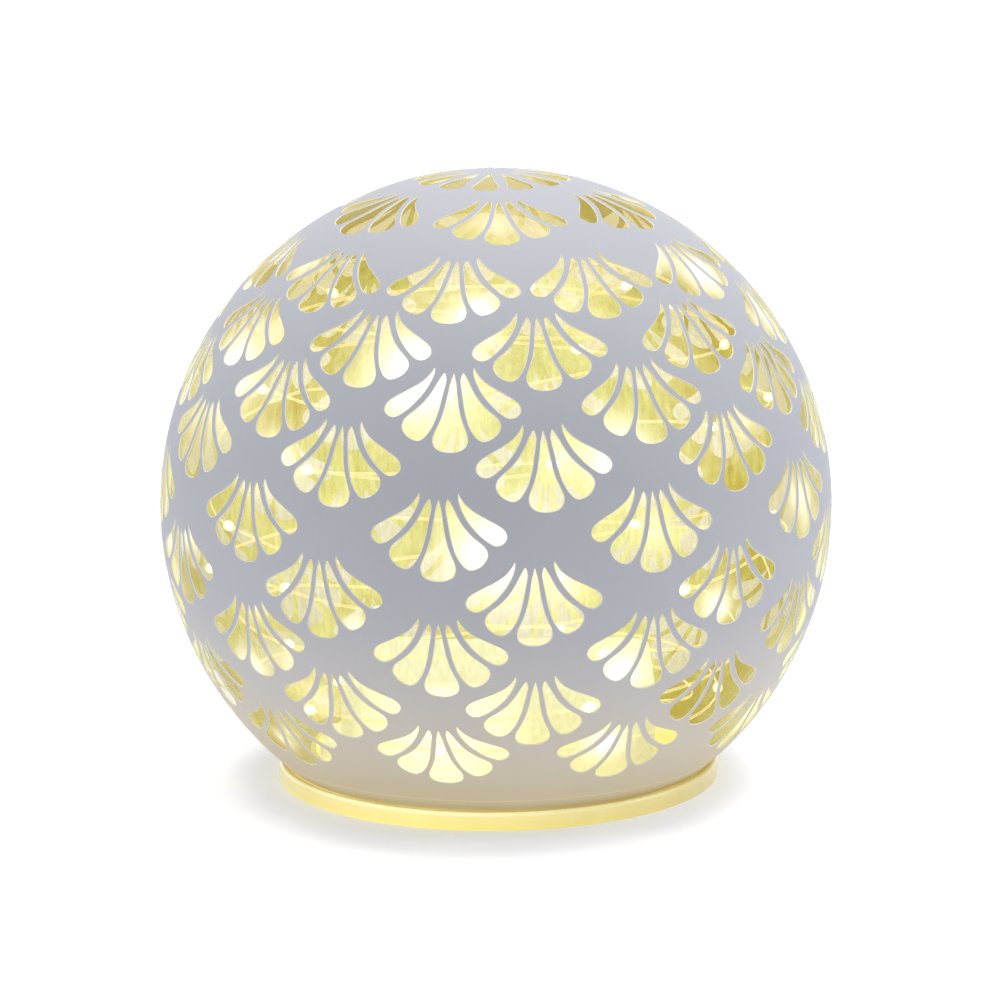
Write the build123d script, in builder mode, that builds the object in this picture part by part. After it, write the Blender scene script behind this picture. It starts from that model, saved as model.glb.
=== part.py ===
import os
from math import cos, degrees, dist, floor, hypot, pi, radians, sin, sqrt

from build123d import *

# Ball lamp: a lacquered glass ball with fan windows, glued to a clear base that holds the cells.
# Millimetres and degrees. The lamp stands on z = 0 about the Z axis, and its front faces -Y.

# Glass ball and the lacquer on it
BALL_DIAMETER = 150.0
COAT_THICKNESS = 0.2
COAT_CLEARANCE = 0.05
GLASS_WALL = 2.0

# Fan windows: places on the ball
FAN_WIDTH = 28.9
FAN_GAP = 2.0
ROW_PITCH = 13.5
FIRST_ROW_LATITUDE = 47.5
LAST_ROW_LATITUDE = -36.0
ROW_TURN = -9.0
CROWN_LATITUDE = 66.0
CROWN_TURN = 3.0
ROSETTE_PETALS = 12
ROSETTE_TURN = -6.0

# Fan windows: how far each row strays in turn and in latitude, from the top row down
ROW_DRIFT = [(-1.2, 1.5), (0.4, -0.3), (1.2, 0), (-0.7, 0.6), (-0.4, -0.1)]
ROW_DRIFT += [(-2.9, -0.8), (-0.6, 0.1), (-2.6, 0.1), (-2.2, 0.4)]

# Fan windows: outlines of the middle, inner and outer petals about the fan's own centre
MIDDLE_PETAL = [(0, 8.5), (-3.5, -5.4), (-2.1, -8.9), (2.1, -8.9), (3.5, -5.4)]
INNER_PETAL = [(2.1, 8.7), (4.7, -4.9), (6.3, -6.6), (9.2, -5.7), (10.5, -3.0)]
OUTER_PETAL = [(4.2, 9.6), (10.9, -1.1), (12.9, -1.7), (14.4, 0.6), (13.6, 2.9)]
ROSETTE_PETAL = [(0, -4.0), (-3.1, -14.4), (-2.0, -17.2), (2.0, -17.2), (3.1, -14.4)]

# Clear base: foot ring, web, rim and collar
FOOT_RECESS = 1.4
FOOT_WIDTH = 4.0
WEB_THICKNESS = 1.8
RIM_STAND = 0.8
RIM_WALL = 1.6
RIM_ROUNDING = 0.7
RIM_CLEARANCE = 0.35
COAT_TUCK = 0.4
COLLAR_WALL = 1.2
COLLAR_HEIGHT = 3.1
GLUE_GAP = 0.45
GLUE_CLEARANCE = 0.05

# Three AA cells
CELL_DIAMETER = 14.5
CELL_LENGTH = 50.5
NUB_DIAMETER = 5.5
NUB_LENGTH = 1.2
CELL_GAP = 0.7
CELL_SIDE_CLEARANCE = 0.55
CELL_FLOOR_GAP = 0.4
CELL_HEADROOM = 5.3

# Contacts and leads
CONTACT_THICKNESS = 0.4
CONTACT_HEIGHT = 12.0
CONTACT_CLEARANCE = 0.05
CONTACT_MARGIN = 0.4
LEAF_REACH = 4.7
LEAF_WIDTH = 4.0
LEAF_SPAN = 8.0
LEAF_FLAT = 2.0
LEAD_DIAMETER = 1.0
LEAD_BEND = 1.3
LEAD_RUN = 2.0
LEAD_CLEARANCE = 0.5

# Battery housing
HOUSING_WALL = 1.6
HOUSING_CORNER = 5.5
HOUSING_TOP_ROUNDING = 1.0
HOUSING_CLEARANCE = 0.35
PARTITION = 1.4
CIRCUIT_BAY = 9.0
RIB_THICKNESS = 1.4
RIB_COUNT = 3
RIB_DROP = 3.0
CRADLE_CLEARANCE = 0.35

# Screws and the bosses that take them
SCREW_RADIUS = 1.2
SCREW_LENGTH = 5.0
SCREW_CLEARANCE = 0.05
SCREW_END_CLEARANCE = 0.3
SCREW_PASS = 0.2
SCREW_HEAD_RADIUS = 2.1
SCREW_HEAD_HEIGHT = 0.9
SCREW_SLOT = 0.5
SCREW_SLOT_DEPTH = 0.4
HEAD_CLEARANCE = 0.1
BOSS_WALL = 1.4
BOSS_HEIGHT = 5.4
BOSS_SPREAD = 15.0
EAR_SPREAD = 8.0

# Battery door
DOOR_CLEARANCE = 0.3
DOOR_REBATE = 1.0
DOOR_SEAT_CLEARANCE = 0.05
TAB_WIDTH = 4.0
TAB_THICKNESS = 1.0
TAB_REACH = 1.1
TAB_CLEARANCE = 0.4
TAB_SWING = 0.4
LATCH_HEIGHT = 3.4
LATCH_THICKNESS = 1.0
LATCH_CLEARANCE = 0.6
FINGER_NOTCH_RADIUS = 5.0

# Circuit board, switch and cable bush
BOARD_THICKNESS = 1.2
BOARD_CLEARANCE = 0.35
PIN_RADIUS = 0.8
PIN_STAND = 0.6
PIN_CLEARANCE = 0.1
CHIP_SIZE = (3.9, 4.9, 1.5)
CHIP_PLACE = 8.5
CAPACITOR_RADIUS = 2.2
CAPACITOR_HEIGHT = 5.0
CAPACITOR_PLACE = -8.5
SWITCH_SIZE = (6.0, 13.0, 4.0)
SLIDER_BLOCK = (3.2, 4.0, 2.2)
SLIDER_STEM = (2.4, 3.2)
SLIDER_TRAVEL = 2.0
SLIDER_CLEARANCE = 0.3
KNOB_STAND = 0.9
KNOB_GROOVE = 0.4
BUSH_RADIUS = 2.0
BUSH_CLEARANCE = 0.05
BUSH_FLANGE = 0.9
BUSH_FLANGE_RADIUS = 3.0
BUSH_RISE = 6.2

# Wound string of lights: it passes these places, as turns from the front and latitude on the ball
WIRE_DIAMETER = 0.9
WIRE_PASS = 0.3
WIRE_BEND = 3.0
WIRE_LEAD_OUT = 3.0
WIRE_WALL_GAP = 7.0
WIRE_SWAY = 3.0
WIRE_SWAY_RATE = 1.62
WIRE_PLACES = [
    (0.35, -45.0),
    (0.95, -47.5),
    (1.25, -41.0),
    (1.86, -35.9),
    (3.06, -18.4),
    (4.11, -8.4),
    (5.00, 3.8),
    (6.06, 18.3),
    (6.83, 28.8),
    (6.96, 33.1),
    (7.99, 44.0),
    (8.18, 48.1),
    (9.14, 54.8),
]
BEAD_PITCH = 84.0
BEAD_RADIUS = 1.4
BEAD_LENGTH = 3.6
BEAD_END_RADIUS = 0.6

# Levels of the base, from the table up
web_bottom = FOOT_RECESS
seat_z = web_bottom + WEB_THICKNESS
rim_top = seat_z + RIM_STAND
collar_top = seat_z + COLLAR_HEIGHT
cell_z = seat_z + CELL_FLOOR_GAP + CELL_DIAMETER / 2
ceiling_z = cell_z + CELL_DIAMETER / 2 + CELL_HEADROOM
housing_top = ceiling_z + HOUSING_WALL
board_z = seat_z + BOSS_HEIGHT
board_top = board_z + BOARD_THICKNESS
bush_z = board_top + BUSH_RISE

# Plan of the battery housing: the cell bay, the partition and the circuit bay, along X
cell_pitch = CELL_DIAMETER + CELL_GAP
bay_length = 2 * CONTACT_THICKNESS + LEAF_REACH + CELL_LENGTH + 2 * CONTACT_CLEARANCE
bay_width = 2 * cell_pitch + CELL_DIAMETER + 2 * CELL_SIDE_CLEARANCE
inner_length = bay_length + PARTITION + CIRCUIT_BAY
housing_length = inner_length + 2 * HOUSING_WALL
housing_width = bay_width + 2 * HOUSING_WALL
inner_corner = HOUSING_CORNER - HOUSING_WALL
bay_low = -inner_length / 2
bay_high = bay_low + bay_length
circuit_low = bay_high + PARTITION
circuit_high = inner_length / 2
circuit_x = (circuit_low + circuit_high) / 2
boss_radius = SCREW_RADIUS + BOSS_WALL
ear_x = bay_low - HOUSING_WALL - boss_radius
boss_places = [(circuit_x, -BOSS_SPREAD), (circuit_x, BOSS_SPREAD)]
ear_places = [(ear_x, -EAR_SPREAD), (ear_x, EAR_SPREAD)]
flat_half_width = bay_width / 2 - inner_corner
bay_x = (bay_low + bay_high) / 2
door_x = (bay_low - DOOR_REBATE + bay_high) / 2
skin_top = web_bottom + WEB_THICKNESS / 2
tab_places = [-cell_pitch / 2, cell_pitch / 2]
cell_places = [-cell_pitch, 0, cell_pitch]

# Contacts stand on the end walls of the cell bay, and the leads run from two of them to the board
contact_low = cell_z - 0.4 * CONTACT_HEIGHT
contact_high = contact_low + CONTACT_HEIGHT
contact_half = LEAF_WIDTH / 2 + CONTACT_MARGIN + LEAD_DIAMETER + CONTACT_MARGIN
lead_z = contact_high - CONTACT_MARGIN - LEAD_DIAMETER
lead_y = cell_pitch + LEAF_WIDTH / 2 + CONTACT_MARGIN + LEAD_DIAMETER / 2
lead_high = ceiling_z - LEAD_CLEARANCE - LEAD_DIAMETER / 2
lead_hole = LEAD_DIAMETER / 2 + LEAD_CLEARANCE

# Radii of the neck, from the housing outwards
corner_reach = hypot(housing_length / 2 - HOUSING_CORNER, housing_width / 2 - HOUSING_CORNER) + HOUSING_CORNER
ear_reach = hypot(ear_x, EAR_SPREAD) + boss_radius
collar_inner = max(corner_reach, ear_reach) + HOUSING_CLEARANCE
collar_outer = collar_inner + COLLAR_WALL
ball_radius = BALL_DIAMETER / 2
coat_inner = ball_radius - COAT_THICKNESS
glass_outer = coat_inner - COAT_CLEARANCE
glass_inner = glass_outer - GLASS_WALL
neck_inner = collar_outer + GLUE_GAP
ball_z = seat_z + sqrt(glass_inner**2 - neck_inner**2)
rim_inner = sqrt(ball_radius**2 - (ball_z - rim_top) ** 2) + RIM_CLEARANCE
rim_outer = rim_inner + RIM_WALL


def radius_at(sphere_radius, height):
    """Distance from the Z axis of a sphere about the ball's centre, at a height above the table."""
    return sqrt(sphere_radius**2 - (ball_z - height) ** 2)


def shell_profile(outer, inner, cut_z):
    """Half section of a shell about the ball's centre, cut off flat at a height above the table."""
    low_outer = (radius_at(outer, cut_z), cut_z)
    low_inner = (radius_at(inner, cut_z), cut_z)
    mid_outer = (outer, ball_z)
    mid_inner = (inner, ball_z)
    top_outer = (0, ball_z + outer)
    top_inner = (0, ball_z + inner)
    RadiusArc(low_outer, mid_outer, -outer)
    RadiusArc(mid_outer, top_outer, -outer)
    Line(top_outer, top_inner)
    RadiusArc(top_inner, mid_inner, inner)
    RadiusArc(mid_inner, low_inner, inner)
    Line(low_inner, low_outer)


def ball_plane(latitude, turn):
    """Plane on the ball's surface: x runs east, y runs up the ball, and turn 0 is the front."""
    lat = radians(latitude)
    lon = radians(turn)
    normal = Vector(cos(lat) * sin(lon), -cos(lat) * cos(lon), sin(lat))
    east = Vector(cos(lon), sin(lon), 0)
    return Plane(origin=Vector(0, 0, ball_z) + normal * coat_inner, x_dir=east, z_dir=normal)


def fans_that_fit(latitude):
    """Number of whole fans that a row has room for at the latitude of its widest part."""
    return floor(2 * pi * ball_radius * cos(radians(latitude)) / (FAN_WIDTH + FAN_GAP))


# Glass ball: a blown shell with its open neck ground flat
with BuildPart() as glass_globe:
    with BuildSketch(Plane.XZ):
        with BuildLine():
            shell_profile(glass_outer, glass_inner, seat_z)
        make_face()
    revolve(axis=Axis.Z)

# Rows of fans: one crowded row near the top, then full rows that step half a fan from row to row
row_step = degrees(ROW_PITCH / ball_radius)
row_count = floor((FIRST_ROW_LATITUDE - LAST_ROW_LATITUDE) / row_step) + 1
row_fans = fans_that_fit(FIRST_ROW_LATITUDE)
crown_fans = fans_that_fit(CROWN_LATITUDE)
fan_planes = [ball_plane(CROWN_LATITUDE, CROWN_TURN + 360 / crown_fans * k) for k in range(crown_fans)]
for row in range(row_count):
    turn_drift, latitude_drift = ROW_DRIFT[row % len(ROW_DRIFT)]
    row_latitude = FIRST_ROW_LATITUDE - row * row_step + latitude_drift
    first_turn = ROW_TURN - (row % 2) * 180 / row_fans + turn_drift
    for k in range(row_fans):
        fan_planes.append(ball_plane(row_latitude, first_turn + 360 / row_fans * k))
fan_outlines = [MIDDLE_PETAL]
for petal in (INNER_PETAL, OUTER_PETAL):
    fan_outlines.append(petal)
    fan_outlines.append([(-u, v) for u, v in petal])

# Lacquer: a matt skin on the glass with five-petal fans and a rosette left clear
window_sink = 2 * (ball_radius - sqrt(ball_radius**2 - (FAN_WIDTH / 2) ** 2))
with BuildPart() as lacquer_coat:
    with BuildSketch(Plane.XZ):
        with BuildLine():
            shell_profile(ball_radius, coat_inner, rim_top - COAT_TUCK)
        make_face()
    revolve(axis=Axis.Z)
    for plane in fan_planes:
        with BuildSketch(plane.offset(-window_sink)):
            for outline in fan_outlines:
                with BuildLine():
                    Polyline(*outline, close=True)
                make_face()
    for k in range(ROSETTE_PETALS):
        with BuildSketch(ball_plane(90, ROSETTE_TURN + 360 / ROSETTE_PETALS * k).offset(-window_sink)):
            with BuildLine():
                Polyline(*ROSETTE_PETAL, close=True)
            make_face()
    extrude(amount=window_sink + 2 * COAT_THICKNESS, mode=Mode.SUBTRACT, clean=False)

# Clear base: foot ring, web, rim round the ball and a collar inside its neck
with BuildPart() as base_plate:
    with BuildSketch(Plane.XZ) as base_section:
        with BuildLine():
            Polyline(
                (0, web_bottom),
                (rim_outer - FOOT_WIDTH, web_bottom),
                (rim_outer - FOOT_WIDTH, 0),
                (rim_outer, 0),
                (rim_outer, rim_top),
                (rim_inner, rim_top),
                (rim_inner, seat_z),
                (collar_outer, seat_z),
                (collar_outer, collar_top),
                (collar_inner, collar_top),
                (collar_inner, seat_z),
                (0, seat_z),
                close=True,
            )
        make_face()
        rim_corners = base_section.vertices().filter_by_position(Axis.Y, rim_top - 0.01, rim_top + 0.01)
        fillet(rim_corners, RIM_ROUNDING)
    revolve(axis=Axis.Z)
    with BuildSketch(Plane.XY.offset(web_bottom)):
        with Locations((bay_x, 0)):
            RectangleRounded(bay_length, bay_width, inner_corner)
    extrude(amount=WEB_THICKNESS, mode=Mode.SUBTRACT)
    with BuildSketch(Plane.XY.offset(web_bottom)):
        with Locations((door_x, 0)):
            RectangleRounded(bay_length + DOOR_REBATE, bay_width + 2 * DOOR_REBATE, inner_corner)
        with Locations((bay_low - DOOR_REBATE, 0)):
            Circle(FINGER_NOTCH_RADIUS)
    extrude(amount=WEB_THICKNESS / 2, mode=Mode.SUBTRACT)
    with BuildSketch(Plane.XY.offset(web_bottom)):
        with Locations((circuit_x, 0)):
            Rectangle(
                SLIDER_STEM[0] + 2 * SLIDER_CLEARANCE,
                SLIDER_STEM[1] + 2 * SLIDER_TRAVEL + 2 * SLIDER_CLEARANCE,
            )
        with Locations(*boss_places, *ear_places):
            Circle(SCREW_RADIUS + SCREW_PASS)
    extrude(amount=WEB_THICKNESS, mode=Mode.SUBTRACT)
    with BuildSketch(Plane.XY.offset(web_bottom)):
        with Locations(*boss_places, *ear_places):
            Circle(SCREW_HEAD_RADIUS + HEAD_CLEARANCE)
    extrude(amount=SCREW_HEAD_HEIGHT + HEAD_CLEARANCE, mode=Mode.SUBTRACT)

# Glue: a bead of clear silicone between the collar and the inside of the glass neck
glue_inner = collar_outer + GLUE_CLEARANCE
glue_outer = glass_inner - GLUE_CLEARANCE
with BuildPart() as glue_seal:
    with BuildSketch(Plane.XZ):
        with BuildLine():
            low = (radius_at(glue_outer, seat_z), seat_z)
            high = (radius_at(glue_outer, collar_top), collar_top)
            RadiusArc(low, high, -glue_outer)
            Polyline(high, (glue_inner, collar_top), (glue_inner, seat_z), low)
        make_face()
    revolve(axis=Axis.Z)

# Battery housing: a moulded box, open below, with cradle ribs, a partition, bosses and ears
rib_places = [bay_low + bay_length * (k + 0.5) / RIB_COUNT for k in range(RIB_COUNT)]
screw_top = web_bottom + SCREW_HEAD_HEIGHT + HEAD_CLEARANCE + SCREW_LENGTH
with BuildPart() as battery_housing:
    with BuildSketch(Plane.XY.offset(seat_z)):
        RectangleRounded(housing_length, housing_width, HOUSING_CORNER)
    extrude(amount=housing_top - seat_z)
    fillet(battery_housing.edges().group_by(Axis.Z)[-1], HOUSING_TOP_ROUNDING)
    with BuildSketch(Plane.XY.offset(seat_z)):
        RectangleRounded(inner_length, bay_width, inner_corner)
    extrude(amount=ceiling_z - seat_z, mode=Mode.SUBTRACT)
    with BuildSketch(Plane.XY.offset(cell_z + RIB_DROP)):
        with Locations(*[(x, 0) for x in rib_places]):
            Rectangle(RIB_THICKNESS, bay_width)
    extrude(amount=ceiling_z - cell_z - RIB_DROP)
    with BuildSketch(Plane.YZ.offset(bay_low)):
        with Locations(*[(y, cell_z) for y in cell_places]):
            Circle(CELL_DIAMETER / 2 + CRADLE_CLEARANCE)
    extrude(amount=bay_length, mode=Mode.SUBTRACT)
    with BuildSketch(Plane.XY.offset(seat_z)):
        with Locations(((bay_high + circuit_low) / 2, 0)):
            Rectangle(PARTITION, bay_width)
    extrude(amount=ceiling_z - seat_z)
    with BuildSketch(Plane.YZ.offset(bay_low)):
        with Locations((lead_y, lead_high)):
            Rectangle(2 * lead_hole, 2 * lead_hole)
    extrude(amount=circuit_low - bay_low, mode=Mode.SUBTRACT)
    with BuildSketch(Plane.YZ.offset(bay_high)):
        with Locations((-cell_pitch, lead_z)):
            Circle(lead_hole)
        with Locations(*[(y, seat_z) for y in tab_places]):
            Rectangle(TAB_WIDTH + 2 * TAB_CLEARANCE, 2 * (2 * TAB_CLEARANCE + TAB_THICKNESS + TAB_SWING))
    extrude(amount=PARTITION, mode=Mode.SUBTRACT)
    with BuildSketch(Plane.XY.offset(seat_z)):
        with Locations(*boss_places, *ear_places):
            Circle(boss_radius)
        with Locations(*[((x + circuit_high) / 2, y) for x, y in boss_places]):
            Rectangle(circuit_high - circuit_x, BOSS_WALL)
        with Locations(*[(x + boss_radius / 2, y) for x, y in ear_places]):
            Rectangle(boss_radius, 2 * boss_radius)
    extrude(amount=BOSS_HEIGHT)
    with BuildSketch(Plane.XY.offset(board_z)):
        with Locations(*boss_places):
            Circle(PIN_RADIUS)
    extrude(amount=BOARD_THICKNESS + PIN_STAND)
    with BuildSketch(Plane.XY.offset(seat_z)):
        with Locations(*boss_places, *ear_places):
            Circle(SCREW_RADIUS + SCREW_CLEARANCE)
    extrude(amount=screw_top + SCREW_END_CLEARANCE - seat_z, mode=Mode.SUBTRACT)
    with BuildSketch(Plane.YZ.offset(circuit_high)):
        with Locations((0, bush_z)):
            Circle(BUSH_RADIUS + BUSH_CLEARANCE)
    extrude(amount=HOUSING_WALL, mode=Mode.SUBTRACT)

# Battery door: a skin in the rebate, a plug in the opening, two hinge tabs and a latch tongue
door_edge = bay_high - DOOR_CLEARANCE
with BuildPart() as battery_door:
    with BuildSketch(Plane.XY.offset(web_bottom)):
        with Locations((door_x, 0)):
            RectangleRounded(
                bay_length + DOOR_REBATE - 2 * DOOR_CLEARANCE,
                bay_width + 2 * DOOR_REBATE - 2 * DOOR_CLEARANCE,
                inner_corner - DOOR_CLEARANCE,
            )
    extrude(amount=skin_top - DOOR_SEAT_CLEARANCE - web_bottom)
    with BuildSketch(Plane.XY.offset(skin_top - DOOR_SEAT_CLEARANCE)):
        with Locations((bay_x, 0)):
            RectangleRounded(
                bay_length - 2 * DOOR_CLEARANCE,
                bay_width - 2 * DOOR_CLEARANCE,
                inner_corner - DOOR_CLEARANCE,
            )
    extrude(amount=seat_z - skin_top + DOOR_SEAT_CLEARANCE)
    tab_low = seat_z + TAB_CLEARANCE
    tab_high = tab_low + TAB_THICKNESS
    with BuildSketch(Plane.XZ.offset(tab_places[0] - TAB_WIDTH / 2)):
        with BuildLine():
            Polyline(
                (door_edge - TAB_THICKNESS, seat_z),
                (door_edge, seat_z),
                (door_edge, tab_low),
                (bay_high + TAB_REACH, tab_low),
                (bay_high + TAB_REACH, tab_high),
                (door_edge - TAB_THICKNESS, tab_high),
                close=True,
            )
        make_face()
    extrude(amount=TAB_WIDTH)
    mirror(about=Plane.XZ)
    with BuildSketch(Plane.XY.offset(seat_z)):
        with Locations((bay_low + LATCH_CLEARANCE + LATCH_THICKNESS / 2, tab_places[1])):
            Rectangle(LATCH_THICKNESS, TAB_WIDTH)
    extrude(amount=LATCH_HEIGHT)

# Cells: three AA cells lying side by side, the middle one turned end for end
cells = {}
plus_end = bay_high - CONTACT_THICKNESS - CONTACT_CLEARANCE
minus_end = bay_low + CONTACT_THICKNESS + CONTACT_CLEARANCE
for label, y, tip_x, way in (
    ("cell_front", cell_places[0], plus_end, -1),
    ("cell_middle", cell_places[1], minus_end, 1),
    ("cell_back", cell_places[2], plus_end, -1),
):
    with BuildPart() as cell:
        with BuildSketch(Plane(origin=(tip_x, y, cell_z), z_dir=(way, 0, 0))):
            Circle(NUB_DIAMETER / 2)
        extrude(amount=NUB_LENGTH)
        with BuildSketch(Plane(origin=(tip_x + way * NUB_LENGTH, y, cell_z), z_dir=(way, 0, 0))):
            Circle(CELL_DIAMETER / 2)
        extrude(amount=CELL_LENGTH - NUB_LENGTH)
    cells[label] = cell

# Contact plates: two single plates and two that link neighbouring cells
with BuildPart() as contact_plates:
    for x, first, last in (
        (bay_low, cell_places[0], cell_places[1]),
        (bay_low, cell_places[2], cell_places[2]),
        (bay_high - CONTACT_THICKNESS, cell_places[0], cell_places[0]),
        (bay_high - CONTACT_THICKNESS, cell_places[1], cell_places[2]),
    ):
        with BuildSketch(Plane.YZ.offset(x)):
            with Locations(((first + last) / 2, (contact_low + contact_high) / 2)):
                Rectangle(last - first + 2 * contact_half, CONTACT_HEIGHT)
        extrude(amount=CONTACT_THICKNESS)

# Contact springs: bent leaves that press on the flat ends of the cells
with BuildPart() as contact_springs:
    for x, y, way in (
        (bay_low + CONTACT_THICKNESS, cell_places[0], 1),
        (bay_low + CONTACT_THICKNESS, cell_places[2], 1),
        (bay_high - CONTACT_THICKNESS, cell_places[1], -1),
    ):
        reach = way * LEAF_REACH
        inside = way * (LEAF_REACH - CONTACT_THICKNESS)
        with BuildSketch(Plane.XZ.offset(-y - LEAF_WIDTH / 2)):
            with BuildLine():
                Polyline(
                    (x, cell_z - LEAF_SPAN / 2),
                    (x + reach, cell_z - LEAF_FLAT / 2),
                    (x + reach, cell_z + LEAF_FLAT / 2),
                    (x, cell_z + LEAF_SPAN / 2),
                    (x, cell_z + LEAF_SPAN / 2 - 2 * CONTACT_THICKNESS),
                    (x + inside, cell_z + LEAF_FLAT / 2 - CONTACT_THICKNESS / 2),
                    (x + inside, cell_z - LEAF_FLAT / 2 + CONTACT_THICKNESS / 2),
                    (x, cell_z - LEAF_SPAN / 2 + 2 * CONTACT_THICKNESS),
                    close=True,
                )
            make_face()
        extrude(amount=LEAF_WIDTH)

# Battery leads: a short one through the partition and a long one along the ceiling of the bay
lead_end_x = circuit_low + LEAD_RUN
lead_routes = [
    [
        (bay_high, -cell_pitch, lead_z),
        (lead_end_x, -cell_pitch, lead_z),
        (lead_end_x, -cell_pitch, board_top),
    ],
    [
        (bay_low + CONTACT_THICKNESS, lead_y, lead_z),
        (bay_low + CONTACT_THICKNESS + LEAD_RUN, lead_y, lead_z),
        (bay_low + CONTACT_THICKNESS + LEAD_RUN, lead_y, lead_high),
        (lead_end_x, lead_y, lead_high),
        (lead_end_x, lead_y, board_top),
    ],
]
with BuildPart() as battery_leads:
    for route in lead_routes:
        with BuildLine() as lead_path:
            FilletPolyline(*route, radius=LEAD_BEND)
        with BuildSketch(Plane(origin=lead_path.line @ 0, z_dir=lead_path.line % 0)):
            RegularPolygon(LEAD_DIAMETER / 2, 8)
        sweep(path=lead_path.line)

# Circuit board on the bosses, with the timer chip and a capacitor on it
with BuildPart() as circuit_board:
    with BuildSketch(Plane.XY.offset(board_z)):
        with Locations((circuit_x, 0)):
            Rectangle(CIRCUIT_BAY - 2 * BOARD_CLEARANCE, 2 * flat_half_width)
        with Locations(*boss_places):
            Circle(PIN_RADIUS + PIN_CLEARANCE, mode=Mode.SUBTRACT)
    extrude(amount=BOARD_THICKNESS)

with BuildPart() as timer_chip:
    with BuildSketch(Plane.XY.offset(board_top)):
        with Locations((circuit_x, CHIP_PLACE)):
            Rectangle(CHIP_SIZE[0], CHIP_SIZE[1])
    extrude(amount=CHIP_SIZE[2])
    chamfer(timer_chip.edges().group_by(Axis.Z)[-1], 0.2)

with BuildPart() as capacitor:
    with BuildSketch(Plane.XY.offset(board_top)):
        with Locations((circuit_x, CAPACITOR_PLACE)):
            Circle(CAPACITOR_RADIUS)
    extrude(amount=CAPACITOR_HEIGHT)
    chamfer(capacitor.edges().group_by(Axis.Z)[-1], 0.3)

# Slide switch: a body under the board and a slider whose knob stands out of the underside
switch_low = board_z - SWITCH_SIZE[2]
block_low = switch_low + SLIDER_CLEARANCE
with BuildPart() as switch_body:
    with BuildSketch(Plane.XY.offset(switch_low)):
        with Locations((circuit_x, 0)):
            Rectangle(SWITCH_SIZE[0], SWITCH_SIZE[1])
    extrude(amount=SWITCH_SIZE[2])
    with BuildSketch(Plane.XY.offset(switch_low)):
        with Locations((circuit_x, 0)):
            Rectangle(
                SLIDER_BLOCK[0] + 2 * SLIDER_CLEARANCE,
                SLIDER_BLOCK[1] + 2 * SLIDER_TRAVEL + 2 * SLIDER_CLEARANCE,
            )
    extrude(amount=SLIDER_BLOCK[2] + 2 * SLIDER_CLEARANCE, mode=Mode.SUBTRACT)

with BuildPart() as switch_slider:
    with BuildSketch(Plane.XY.offset(block_low)):
        with Locations((circuit_x, 0)):
            Rectangle(SLIDER_BLOCK[0], SLIDER_BLOCK[1])
    extrude(amount=SLIDER_BLOCK[2])
    with BuildSketch(Plane.XY.offset(web_bottom - KNOB_STAND)):
        with Locations((circuit_x, 0)):
            Rectangle(SLIDER_STEM[0], SLIDER_STEM[1])
    extrude(amount=block_low - web_bottom + KNOB_STAND)
    with BuildSketch(Plane.XY.offset(web_bottom - KNOB_STAND)):
        with Locations((circuit_x, -SLIDER_STEM[1] / 4), (circuit_x, SLIDER_STEM[1] / 4)):
            Rectangle(SLIDER_STEM[0], KNOB_GROOVE)
    extrude(amount=KNOB_GROOVE, mode=Mode.SUBTRACT)

# Screws: four pan heads sunk in the underside, turned into the bosses and ears
head_low = web_bottom + HEAD_CLEARANCE
head_high = head_low + SCREW_HEAD_HEIGHT
with BuildPart() as housing_screws:
    with BuildSketch(Plane.XY.offset(head_low)):
        with Locations(*boss_places, *ear_places):
            Circle(SCREW_HEAD_RADIUS)
    extrude(amount=SCREW_HEAD_HEIGHT)
    with BuildSketch(Plane.XY.offset(head_high)):
        with Locations(*boss_places, *ear_places):
            Circle(SCREW_RADIUS)
    extrude(amount=SCREW_LENGTH)
    with BuildSketch(Plane.XY.offset(head_low)):
        with Locations(*boss_places, *ear_places):
            Rectangle(2 * SCREW_RADIUS, SCREW_SLOT)
            Rectangle(SCREW_SLOT, 2 * SCREW_RADIUS)
    extrude(amount=SCREW_SLOT_DEPTH, mode=Mode.SUBTRACT)

# Cable bush: a flanged sleeve in the end wall of the housing
bush_bore = WIRE_DIAMETER / 2 + WIRE_PASS
bush_inner_x = circuit_high - BUSH_FLANGE
bush_outer_x = circuit_high + HOUSING_WALL + BUSH_FLANGE
with BuildPart() as wire_grommet:
    with BuildSketch(Plane.XZ):
        with BuildLine():
            Polyline(
                (bush_inner_x, bush_z + bush_bore),
                (bush_outer_x, bush_z + bush_bore),
                (bush_outer_x, bush_z + BUSH_FLANGE_RADIUS),
                (circuit_high + HOUSING_WALL, bush_z + BUSH_FLANGE_RADIUS),
                (circuit_high + HOUSING_WALL, bush_z + BUSH_RADIUS),
                (circuit_high, bush_z + BUSH_RADIUS),
                (circuit_high, bush_z + BUSH_FLANGE_RADIUS),
                (bush_inner_x, bush_z + BUSH_FLANGE_RADIUS),
                close=True,
            )
        make_face()
    revolve(axis=Axis((0, 0, bush_z), (1, 0, 0)))


def string_latitude(turn):
    """Latitude of the string after a number of turns, even between the places that it passes."""
    for (turn_low, lat_low), (turn_high, lat_high) in zip(WIRE_PLACES, WIRE_PLACES[1:]):
        if turn <= turn_high:
            break
    return lat_low + (lat_high - lat_low) * (turn - turn_low) / (turn_high - turn_low)


def string_point(turn):
    """Point on the loosely wound string, which sways a little in and out as it climbs."""
    lat = radians(string_latitude(turn))
    lon = radians(360 * turn)
    reach = glass_inner - WIRE_WALL_GAP - WIRE_SWAY * (1 - cos(2 * pi * WIRE_SWAY_RATE * turn)) / 2
    return Vector(cos(lat) * sin(lon), -cos(lat) * cos(lon), sin(lat)) * reach + Vector(0, 0, ball_z)


def string_direction(turn):
    """Direction in which the string runs at a number of turns."""
    return (string_point(turn + 0.03) - string_point(turn - 0.03)).normalized()


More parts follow.
